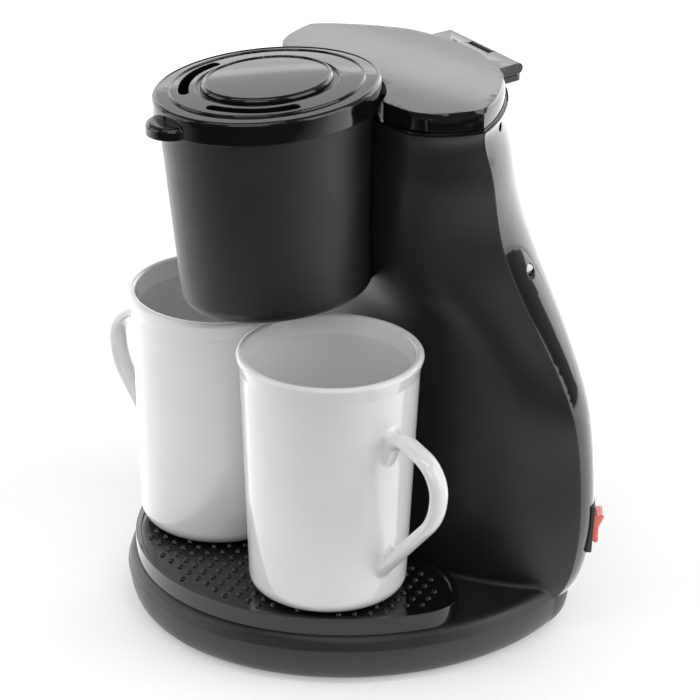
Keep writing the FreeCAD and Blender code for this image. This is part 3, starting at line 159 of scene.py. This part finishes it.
class Shader:
    """A procedural material: a principled shader and the nodes that feed it."""

    def __init__(self, name, **constants):
        self.material = bpy.data.materials.new(name)
        self.material.use_nodes = True
        self.tree = self.material.node_tree
        self.tree.nodes.clear()
        self.output = self.tree.nodes.new("ShaderNodeOutputMaterial")
        self.shader = self.tree.nodes.new("ShaderNodeBsdfPrincipled")
        self.link(self.shader.outputs["BSDF"], self.output.inputs["Surface"])
        self.place = self.tree.nodes.new("ShaderNodeTexCoord").outputs["Object"]
        for socket, value in constants.items():
            self.shader.inputs[socket.replace("_", " ")].default_value = value

    def link(self, source, target):
        self.tree.links.new(source, target)

    def add(self, kind, settings=None, **inputs):
        """A node with its settings; an input is either a constant or another node's output."""
        node = self.tree.nodes.new(kind)
        for key, value in (settings or {}).items():
            setattr(node, key, value)
        for key, value in inputs.items():
            socket = node.inputs[key.replace("_", " ")]
            if isinstance(value, bpy.types.NodeSocket):
                self.link(value, socket)
            else:
                socket.default_value = value
        return node

    def feed(self, socket, source):
        self.link(source, self.shader.inputs[socket])

    def stretched(self, x, y, z):
        """Texture place scaled by its own amount along each axis."""
        return self.add("ShaderNodeMapping", Vector=self.place, Scale=(x, y, z)).outputs["Vector"]

    def noise(self, size, detail=2.0, place=None):
        """Noise whose features are about the given size in metres."""
        place = place or self.place
        return self.add("ShaderNodeTexNoise", Vector=place, Scale=1 / size, Detail=detail).outputs["Fac"]

    def cells(self, size):
        """Distance from the middle of cells of about the given size in metres."""
        node = self.add("ShaderNodeTexVoronoi", Vector=self.place, Scale=1 / size)
        return node.outputs["Distance"]

    def spread(self, source, low, high, start=0.3, end=0.7):
        """The source's usual range, from start to end, laid over low to high."""
        node = self.add("ShaderNodeMapRange", Value=source)
        for key, value in {"From Min": start, "From Max": end, "To Min": low, "To Max": high}.items():
            node.inputs[key].default_value = value
        return node.outputs["Result"]

    def combine(self, operation, first, second):
        node = self.add("ShaderNodeMath", {"operation": operation})
        for socket, value in zip(node.inputs, (first, second)):
            if isinstance(value, bpy.types.NodeSocket):
                self.link(value, socket)
            else:
                socket.default_value = value
        return node.outputs["Value"]

    def tint(self, factor, first, second):
        """Colour between two colours."""
        node = self.add("ShaderNodeMix", {"data_type": "RGBA"})
        self.link(factor, node.inputs[0])
        node.inputs[6].default_value = (*first, 1)
        node.inputs[7].default_value = (*second, 1)
        return node.outputs[2]

    def rounded(self, radius):
        """Normal of the surface with its sharp edges eased."""
        return self.add("ShaderNodeBevel", {"samples": 4}, Radius=radius).outputs["Normal"]

    def edges(self, radius):
        """About 1 on sharp edges and 0 on open surfaces."""
        eased = self.rounded(radius)
        flat = self.tree.nodes.new("ShaderNodeNewGeometry").outputs["Normal"]
        dot = self.add("ShaderNodeVectorMath", {"operation": "DOT_PRODUCT"})
        self.link(eased, dot.inputs[0])
        self.link(flat, dot.inputs[1])
        return self.spread(dot.outputs["Value"], 1, 0, 0.8, 0.99)

    def bump(self, height, depth, normal=None, strength=1.0):
        node = self.add("ShaderNodeBump", Height=height, Distance=depth, Strength=strength)
        if normal:
            self.link(normal, node.inputs["Normal"])
        return node.outputs["Normal"]


def moulded_plastic(name, dark, light, roughness, grain, depth, specular):
    """Textured moulding: fine grain, a slow change of tone and edges rubbed a little smoother."""
    s = Shader(name, Specular_IOR_Level=specular)
    tone = s.noise(45 * MM, 3)
    specks = s.noise(1.1 * MM, 1)
    mixed = s.combine("MULTIPLY", s.spread(tone, 0, 1), s.spread(specks, 0.6, 1, 0.35, 0.65))
    s.feed("Base Color", s.tint(mixed, dark, light))
    fine = s.noise(grain, 3)
    rub = s.edges(0.8 * MM)
    rough = s.combine("ADD", s.spread(s.noise(18 * MM, 4), -0.05, 0.05), roughness)
    s.feed("Roughness", s.combine("SUBTRACT", rough, s.combine("MULTIPLY", rub, 0.28)))
    s.feed("Normal", s.bump(fine, depth, s.rounded(0.5 * MM), 0.8))
    return s.material


def polished_plastic(name, colour, roughness):
    """Gloss moulding: slight waviness in its reflections, faint wipe marks and eased edges."""
    s = Shader(name, IOR=1.53)
    tone = s.noise(60 * MM, 2)
    s.feed("Base Color", s.tint(s.spread(tone, 0, 1), colour, tuple(c * 1.5 for c in colour)))
    wipes = s.noise(3 * MM, 4, s.stretched(1, 0.12, 1))
    haze = s.noise(35 * MM, 3)
    worn = s.combine("MULTIPLY", s.spread(wipes, 0.9, 1.1), s.spread(haze, 0.8, 1.2))
    s.feed("Roughness", s.combine("MULTIPLY", worn, roughness))
    s.feed("Normal", s.bump(s.noise(14 * MM, 1), 0.02 * MM, s.rounded(0.45 * MM), 0.6))
    return s.material


def glazed_porcelain():
    """White glaze over porcelain: soft waves, a few pinholes and a faint warm and cool drift."""
    s = Shader("porcelain", IOR=1.5, Coat_Weight=0.35, Coat_Roughness=0.03)
    drift = s.spread(s.noise(30 * MM, 3), 0, 1)
    s.feed("Base Color", s.tint(drift, (0.80, 0.80, 0.795), (0.84, 0.84, 0.835)))
    s.feed("Roughness", s.spread(s.noise(12 * MM, 3), 0.08, 0.16))
    waves = s.noise(16 * MM, 2)
    pits = s.spread(s.cells(9 * MM), 0, 1, 0.0, 0.03)
    height = s.combine("ADD", waves, s.combine("MULTIPLY", pits, 0.4))
    s.feed("Normal", s.bump(height, 0.03 * MM, None, 0.5))
    return s.material


def lit_red():
    """Cloudy red moulding of a rocker, with light spreading in its depth."""
    s = Shader(
        "red_plastic",
        IOR=1.49,
        Roughness=0.16,
        Subsurface_Weight=0.55,
        Subsurface_Scale=4 * MM,
        Coat_Weight=0.3,
    )
    s.shader.inputs["Subsurface Radius"].default_value = (1.0, 0.35, 0.3)
    depth = s.spread(s.noise(5 * MM, 2), 0, 1)
    s.feed("Base Color", s.tint(depth, (0.82, 0.10, 0.075), (0.90, 0.19, 0.15)))
    s.feed("Normal", s.bump(s.noise(1.5 * MM, 2), 0.01 * MM, s.rounded(0.4 * MM)))
    return s.material


def soft_rubber(name, dark, light, roughness):
    """Rubber or silicone: a fine dull grain and a cloudy tone."""
    s = Shader(name)
    s.feed("Base Color", s.tint(s.spread(s.noise(6 * MM, 4), 0, 1), dark, light))
    s.feed("Roughness", s.spread(s.noise(2 * MM, 3), roughness - 0.08, roughness + 0.08))
    s.feed("Normal", s.bump(s.noise(0.4 * MM, 3), 0.03 * MM, s.rounded(0.4 * MM)))
    return s.material


def worked_metal(name, dark, light, roughness, lines):
    """Metal with drawn lines along one direction, a little stained."""
    s = Shader(name, Metallic=1.0)
    drawn = s.noise(0.6 * MM, 2, s.stretched(*lines))
    stain = s.noise(9 * MM, 4)
    s.feed("Base Color", s.tint(s.spread(stain, 0, 1), dark, light))
    rough = s.combine("MULTIPLY", s.spread(drawn, 0.75, 1.3), s.spread(stain, 0.8, 1.2))
    s.feed("Roughness", s.combine("MULTIPLY", rough, roughness))
    s.feed("Normal", s.bump(drawn, 0.015 * MM, s.rounded(0.3 * MM)))
    return s.material


def woven_mesh():
    """Fine nylon weave: crossing threads, with painted shade in the dark gaps between them."""
    s = Shader("filter_mesh", Roughness=0.5)
    pitch = 0.6 * MM
    across = []
    for axis in ("X", "Z"):
        bands = {"bands_direction": axis}
        wave = s.add("ShaderNodeTexWave", bands, Vector=s.place, Scale=math.pi / 10 / pitch)
        across.append(wave.outputs["Fac"])
    threads = s.combine("MAXIMUM", *across)
    thread = s.spread(threads, 0, 1, 0.55, 0.85)
    # Painted shade: the gaps between the threads are coloured dark brown, the threads keep their own pale
    # colour
    s.feed("Base Color", s.tint(thread, (0.16, 0.13, 0.09), (0.72, 0.68, 0.58)))
    s.feed("Normal", s.bump(threads, 0.12 * MM))
    return s.material


materials = {
    "housing_plastic": moulded_plastic(
        "housing_plastic",
        dark=(0.009, 0.009, 0.0092),
        light=(0.014, 0.014, 0.0143),
        roughness=0.42,
        grain=0.45 * MM,
        depth=0.035 * MM,
        specular=0.45,
    ),
    "base_plastic": moulded_plastic(
        "base_plastic",
        dark=(0.020, 0.020, 0.0205),
        light=(0.030, 0.030, 0.031),
        roughness=0.5,
        grain=0.5 * MM,
        depth=0.05 * MM,
        specular=0.45,
    ),
    "gloss_black": polished_plastic("gloss_black", colour=(0.004, 0.004, 0.0042), roughness=0.075),
    "porcelain": glazed_porcelain(),
    "red_plastic": lit_red(),
    "rubber": soft_rubber("rubber", dark=(0.016, 0.016, 0.016), light=(0.03, 0.03, 0.03), roughness=0.75),
    "silicone": soft_rubber("silicone", dark=(0.62, 0.62, 0.58), light=(0.74, 0.74, 0.71), roughness=0.4),
    "inner_plastic": moulded_plastic(
        "inner_plastic",
        dark=(0.66, 0.66, 0.62),
        light=(0.76, 0.76, 0.73),
        roughness=0.45,
        grain=0.5 * MM,
        depth=0.02 * MM,
        specular=0.5,
    ),
    "filter_plastic": moulded_plastic(
        "filter_plastic",
        dark=(0.02, 0.02, 0.02),
        light=(0.04, 0.04, 0.04),
        roughness=0.38,
        grain=0.4 * MM,
        depth=0.02 * MM,
        specular=0.5,
    ),
    "filter_mesh": woven_mesh(),
    "aluminium": worked_metal(
        "aluminium", dark=(0.60, 0.60, 0.61), light=(0.74, 0.74, 0.75), roughness=0.38, lines=(0.05, 1, 1)
    ),
    "steel": worked_metal(
        "steel", dark=(0.50, 0.50, 0.50), light=(0.64, 0.64, 0.64), roughness=0.28, lines=(1, 1, 0.1)
    ),
}

for part in frame["record"]["subparts"]:
    mesh = nodes[part["node"]].data
    mesh.materials.clear()
    mesh.materials.append(materials[part["material_slot"]])


def welded_copy(node):
    """Copy of a node's mesh with its doubled corners joined."""
    bm = bmesh.new()
    bm.from_mesh(nodes[node].data)
    bmesh.ops.remove_doubles(bm, verts=bm.verts, dist=TOUCHING)
    return bm


def corners(faces):
    """The corners of some faces, each once and in a fixed order."""
    return list(dict.fromkeys(v for face in faces for v in face.verts))


def level_faces(bm, level, near):
    """The faces that lie flat at a height."""
    return [face for face in bm.faces if all(abs(v.co.z - level) < near for v in face.verts)]


def cut_grid(bm, level, near, box):
    """Cut the flat faces at a height into small squares, so that they can be bent."""
    low, high = box
    for axis in (0, 1):
        square = Vector((0, 0, 0))
        square[axis] = 1
        cut = low[axis] + BEND_GRID
        while cut < high[axis]:
            faces = level_faces(bm, level, near)
            edges = dict.fromkeys(edge for face in faces for edge in face.edges)
            geometry = [*faces, *edges, *corners(faces)]
            bmesh.ops.bisect_plane(bm, geom=geometry, dist=TOUCHING, plane_co=square * cut, plane_no=square)
            cut += BEND_GRID


def round_edges(bm, edges, radius, steps):
    bmesh.ops.bevel(
        bm,
        geom=edges,
        offset=radius,
        segments=steps,
        profile=ROUND_PROFILE,
        affect="EDGES",
        clamp_overlap=True,
    )


def new_piece(bm, name, slot):
    """A piece with the reshaped mesh, smooth but for its sharp edges."""
    mesh = bpy.data.meshes.new(name)
    bm.to_mesh(mesh)
    bm.free()
    if "custom_normal" in mesh.attributes:
        mesh.attributes.remove(mesh.attributes["custom_normal"])
    mesh.shade_smooth()
    mesh.set_sharp_from_angle(angle=SHARP_ANGLE)
    mesh.materials.append(materials[slot])
    piece = bpy.data.objects.new(name, mesh)
    scene.collection.objects.link(piece)
    return piece


def lid_crown(place):
    """How far the lid's top is raised: most by the basket, sweeping down to the hinge."""
    share = min(1, max(0, (place.y - CROWN_FROM_Y) / (CROWN_END_Y - CROWN_FROM_Y)))
    return CROWN_RISE * (1 - share * share)


def lid_spread(place):
    """1 over the tank, falling to 0 at the hinge, where the lid keeps its outline."""
    return min(1, max(0, (LID_KEPT_Y - place.y) / LID_FADE))


def crowned_lid():
    """The reservoir lid with a swelled top and a narrow eased edge."""
    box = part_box("reservoir_lid")
    top = box[1].z
    bm = welded_copy("reservoir_lid")
    sloped = [face for face in bm.faces if LID_BEVEL_STEEPEST < face.normal.z < LID_BEVEL_FLATTEST]
    bevel = [face for face in sloped if min(v.co.z for v in face.verts) > top - LID_BEVEL - TOUCHING]
    outward = {}
    for face in bevel:
        for v in face.verts:
            outward[v] = outward.get(v, Vector((0, 0, 0))) + face.normal * face.calc_area()
    for way in outward.values():
        way.z = 0
        way.normalize()
    ways = list(outward.values())
    tree = KDTree(len(outward))
    for index, v in enumerate(outward):
        tree.insert((v.co.x, v.co.y, 0), index)
    tree.balance()

    # The bevel moves outwards, its top most, and the skirt under it goes along
    moves = {}
    for v in bm.verts:
        if v in outward:
            share = (v.co.z - top + LID_BEVEL) / LID_BEVEL
            moves[v] = outward[v] * (LID_GROWTH + share * LID_BEVEL_TAKEN) * lid_spread(v.co)
        elif v.co.z < top - LID_BEVEL:
            _, index, distance = tree.find((v.co.x, v.co.y, 0))
            if distance < LID_SKIRT_NEAR:
                moves[v] = ways[index] * LID_GROWTH * lid_spread(v.co)

    # The wall beside the basket stays where it is
    basket = sum(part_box("brew_basket"), Vector((0, 0, 0))) / 2
    for v, move in moves.items():
        for face in v.link_faces:
            inward = basket - face.calc_center_median()
            if abs(face.normal.z) < LID_UPRIGHT and face.normal.dot(inward) > 0:
                move -= face.normal * move.dot(face.normal)
    for v, move in moves.items():
        v.co += move

    cut_grid(bm, top, TOUCHING, box)
    flat = level_faces(bm, top, TOUCHING)
    inner = set(flat)
    rim = [edge for face in flat for edge in face.edges if any(f not in inner for f in edge.link_faces)]
    for v in corners(flat):
        v.co.z += lid_crown(v.co)
    round_edges(bm, rim, LID_EDGE, LID_EDGE_STEPS)
    piece = new_piece(bm, "crowned_lid", "gloss_black")
    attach(piece, "reservoir_lid")
    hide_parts("reservoir_lid")


def domed_cap():
    """The basket's cap with each of its flat surfaces slightly domed."""
    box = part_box("basket_cap")
    basket = sum(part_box("brew_basket"), Vector((0, 0, 0))) / 2
    bm = welded_copy("basket_cap")
    for depth, start in CAP_LEVELS:
        level = box[1].z - depth
        cut_grid(bm, level, CAP_LEVEL_NEAR, box)
        for v in corners(level_faces(bm, level, CAP_LEVEL_NEAR)):
            away = v.co - basket
            share = (away.x / CAP_HALF_X) ** 2 + (away.y / CAP_HALF_Y) ** 2
            v.co.z -= CAP_DOME * max(0, share - start)
    piece = new_piece(bm, "domed_cap", "gloss_black")
    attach(piece, "basket_cap")
    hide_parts("basket_cap")


def rounded_rocker():
    """The switch's rocker with its outer edges well rounded and the part that shows let in."""
    bm = welded_copy("switch_rocker")
    bmesh.ops.dissolve_limit(bm, angle_limit=ROCKER_FLAT_ANGLE, verts=bm.verts, edges=bm.edges)
    furthest = max(v.co.dot(ROCKER_OUT) for v in bm.verts)
    outer = {v for v in bm.verts if v.co.dot(ROCKER_OUT) > furthest - ROCKER_SHOWN}
    edges = [edge for edge in bm.edges if edge.verts[0] in outer and edge.verts[1] in outer]
    round_edges(bm, edges, ROCKER_ROUND, ROCKER_ROUND_STEPS)
    for v in bm.verts:
        if v.co.dot(ROCKER_OUT) > furthest - ROCKER_SHOWN - ROCKER_ROUND:
            v.co -= ROCKER_OUT * ROCKER_SUNK
    piece = new_piece(bm, "rounded_rocker", "red_plastic")
    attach(piece, "switch_rocker")
    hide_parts("switch_rocker")


def slim_bezel():
    """The switch's body with a thinner bezel that leans with the shell."""
    low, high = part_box("switch_body")
    bm = welded_copy("switch_body")
    furthest = max(v.co.dot(ROCKER_OUT) for v in bm.verts)
    face = {v for v in bm.verts if v.co.dot(ROCKER_OUT) > furthest - BEZEL_FACE}
    for v in face:
        share = (high.z - v.co.z) / (high.z - low.z)
        v.co -= ROCKER_OUT * (BEZEL_SUNK_TOP + share * (BEZEL_SUNK_LOW - BEZEL_SUNK_TOP))
    edges = [edge for edge in bm.edges if edge.verts[0] in face and edge.verts[1] in face]
    edges = [edge for edge in edges if edge.calc_face_angle(0) > SHARP_ANGLE]
    round_edges(bm, edges, BEZEL_ROUND, BEZEL_ROUND_STEPS)
    piece = new_piece(bm, "slim_bezel", "base_plastic")
    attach(piece, "machine")
    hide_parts("switch_body")


crowned_lid()
domed_cap()
rounded_rocker()
slim_bezel()


def softbox(name, azimuth, elevation, distance, width, height, radiance):
    """Rectangular lamp that faces the machine."""
    light = bpy.data.lights.new(name, "AREA")
    light.shape = "RECTANGLE"
    light.size = width
    light.size_y = height
    light.energy = radiance * math.pi * width * height
    lamp = bpy.data.objects.new(name, light)
    towards = direction(CAMERA_AZIMUTH + azimuth, elevation)
    turn = towards.to_track_quat("Z", "Y").to_matrix().to_4x4()
    lamp.matrix_world = Matrix.Translation(CAMERA_TARGET + towards * distance) @ turn
    lamp.visible_camera = False
    scene.collection.objects.link(lamp)


for lamp in LAMPS:
    softbox(*lamp)


def studio_world():
    """Surroundings, white to the eye; mirrored, they are greyer on the camera's side."""
    world = bpy.data.worlds.new("studio")
    world.use_nodes = True
    tree = world.node_tree
    tree.nodes.clear()
    output = tree.nodes.new("ShaderNodeOutputWorld")
    seen = tree.nodes.new("ShaderNodeBackground")
    scattered = tree.nodes.new("ShaderNodeBackground")
    scattered.inputs["Color"].default_value = (1, 1, 1, 1)
    scattered.inputs["Strength"].default_value = WORLD_DIFFUSE
    place = tree.nodes.new("ShaderNodeTexCoord")
    dot = tree.nodes.new("ShaderNodeVectorMath")
    dot.operation = "DOT_PRODUCT"
    tree.links.new(place.outputs["Generated"], dot.inputs[0])
    dot.inputs[1].default_value = direction(CAMERA_AZIMUTH, 0)
    grade = tree.nodes.new("ShaderNodeMapRange")
    grade.inputs["From Min"].default_value = WORLD_BACK_COSINE
    grade.inputs["From Max"].default_value = WORLD_FRONT_COSINE
    grade.inputs["To Min"].default_value = WORLD_BACK
    grade.inputs["To Max"].default_value = WORLD_FRONT
    tree.links.new(dot.outputs["Value"], grade.inputs["Value"])
    path = tree.nodes.new("ShaderNodeLightPath")
    any_seen = path.outputs["Is Camera Ray"]
    white = tree.nodes.new("ShaderNodeMath")
    white.operation = "MAXIMUM"
    tree.links.new(grade.outputs["Result"], white.inputs[0])
    tree.links.new(any_seen, white.inputs[1])
    tree.links.new(white.outputs["Value"], seen.inputs["Strength"])
    for kind in ("Is Glossy Ray", "Is Transmission Ray"):
        either = tree.nodes.new("ShaderNodeMath")
        either.operation = "MAXIMUM"
        tree.links.new(any_seen, either.inputs[0])
        tree.links.new(path.outputs[kind], either.inputs[1])
        any_seen = either.outputs["Value"]
    mix = tree.nodes.new("ShaderNodeMixShader")
    tree.links.new(any_seen, mix.inputs["Fac"])
    tree.links.new(scattered.outputs["Background"], mix.inputs[1])
    tree.links.new(seen.outputs["Background"], mix.inputs[2])
    tree.links.new(mix.outputs["Shader"], output.inputs["Surface"])
    scene.world = world


def floor():
    """Pale table top that keeps a soft shadow; other rays see painted shade towards the camera, mirrored
    ones a painted glow away from it.
    """
    mesh = bpy.data.meshes.new("floor")
    half = FLOOR_SIZE / 2
    corners = [(-half, -half, 0), (half, -half, 0), (half, half, 0), (-half, half, 0)]
    mesh.from_pydata(corners, [], [(0, 1, 2, 3)])
    plane = bpy.data.objects.new("floor", mesh)
    scene.collection.objects.link(plane)
    s = Shader("floor_white_painted_shade_and_glow", Roughness=0.6, Specular_IOR_Level=0.1)
    path = s.tree.nodes.new("ShaderNodeLightPath")
    behind = s.add("ShaderNodeVectorMath", {"operation": "DOT_PRODUCT"})
    s.link(s.place, behind.inputs[0])
    behind.inputs[1].default_value = -direction(CAMERA_AZIMUTH, 0)
    distance = behind.outputs["Value"]
    # Painted shade: to all but camera rays the floor's colour darkens towards the camera
    pale_with_painted_shade = s.spread(distance, FLOOR_PAINTED_SHADE, FLOOR_PALE, FLOOR_PAINTED_SHADE_FROM, FLOOR_PAINTED_SHADE_END)
    seen = path.outputs["Is Camera Ray"]
    pale_with_painted_shade = s.combine("MAXIMUM", pale_with_painted_shade, s.combine("MULTIPLY", seen, FLOOR_PALE))
    grain = s.spread(s.noise(FLOOR_GRAIN, 3), FLOOR_GRAIN_LOW, 1.0)
    s.feed("Base Color", s.combine("MULTIPLY", pale_with_painted_shade, grain))
    mirrored = s.combine("MAXIMUM", path.outputs["Is Glossy Ray"], path.outputs["Is Transmission Ray"])
    # Painted reflection: mirrored, the floor glows brighter away from the camera, in place of light from
    # behind
    painted_glow = s.spread(distance, 0, FLOOR_PAINTED_GLOW, FLOOR_PAINTED_GLOW_FROM, FLOOR_PAINTED_GLOW_FULL)
    away = s.add("ShaderNodeVectorMath", {"operation": "LENGTH"})
    s.link(s.place, away.inputs[0])
    white = s.spread(away.outputs["Value"], FLOOR_GLOW, 1.0, FLOOR_SHADOW_REACH, FLOOR_WHITE_FROM)
    glow = s.combine("ADD", s.combine("MULTIPLY", seen, white), s.combine("MULTIPLY", mirrored, painted_glow))
    s.shader.inputs["Emission Color"].default_value = (1, 1, 1, 1)
    s.feed("Emission Strength", glow)
    mesh.materials.append(s.material)


def camera():
    """The photograph's viewpoint, with its slight roll."""
    data = bpy.data.cameras.new("camera")
    data.lens = CAMERA_LENS
    data.sensor_width = SENSOR_WIDTH
    eye = bpy.data.objects.new("camera", data)
    back = direction(CAMERA_AZIMUTH, CAMERA_ELEVATION)
    level = direction(CAMERA_AZIMUTH + 90, 0)
    above = back.cross(level)
    roll = math.radians(CAMERA_ROLL)
    right = level * math.cos(roll) + above * math.sin(roll)
    up = above * math.cos(roll) - level * math.sin(roll)
    turn = Matrix((right, up, back)).transposed().to_4x4()
    eye.matrix_world = Matrix.Translation(CAMERA_TARGET + back * CAMERA_DISTANCE) @ turn
    scene.collection.objects.link(eye)
    scene.camera = eye


studio_world()
floor()
camera()
scene.view_settings.view_transform = "Standard"
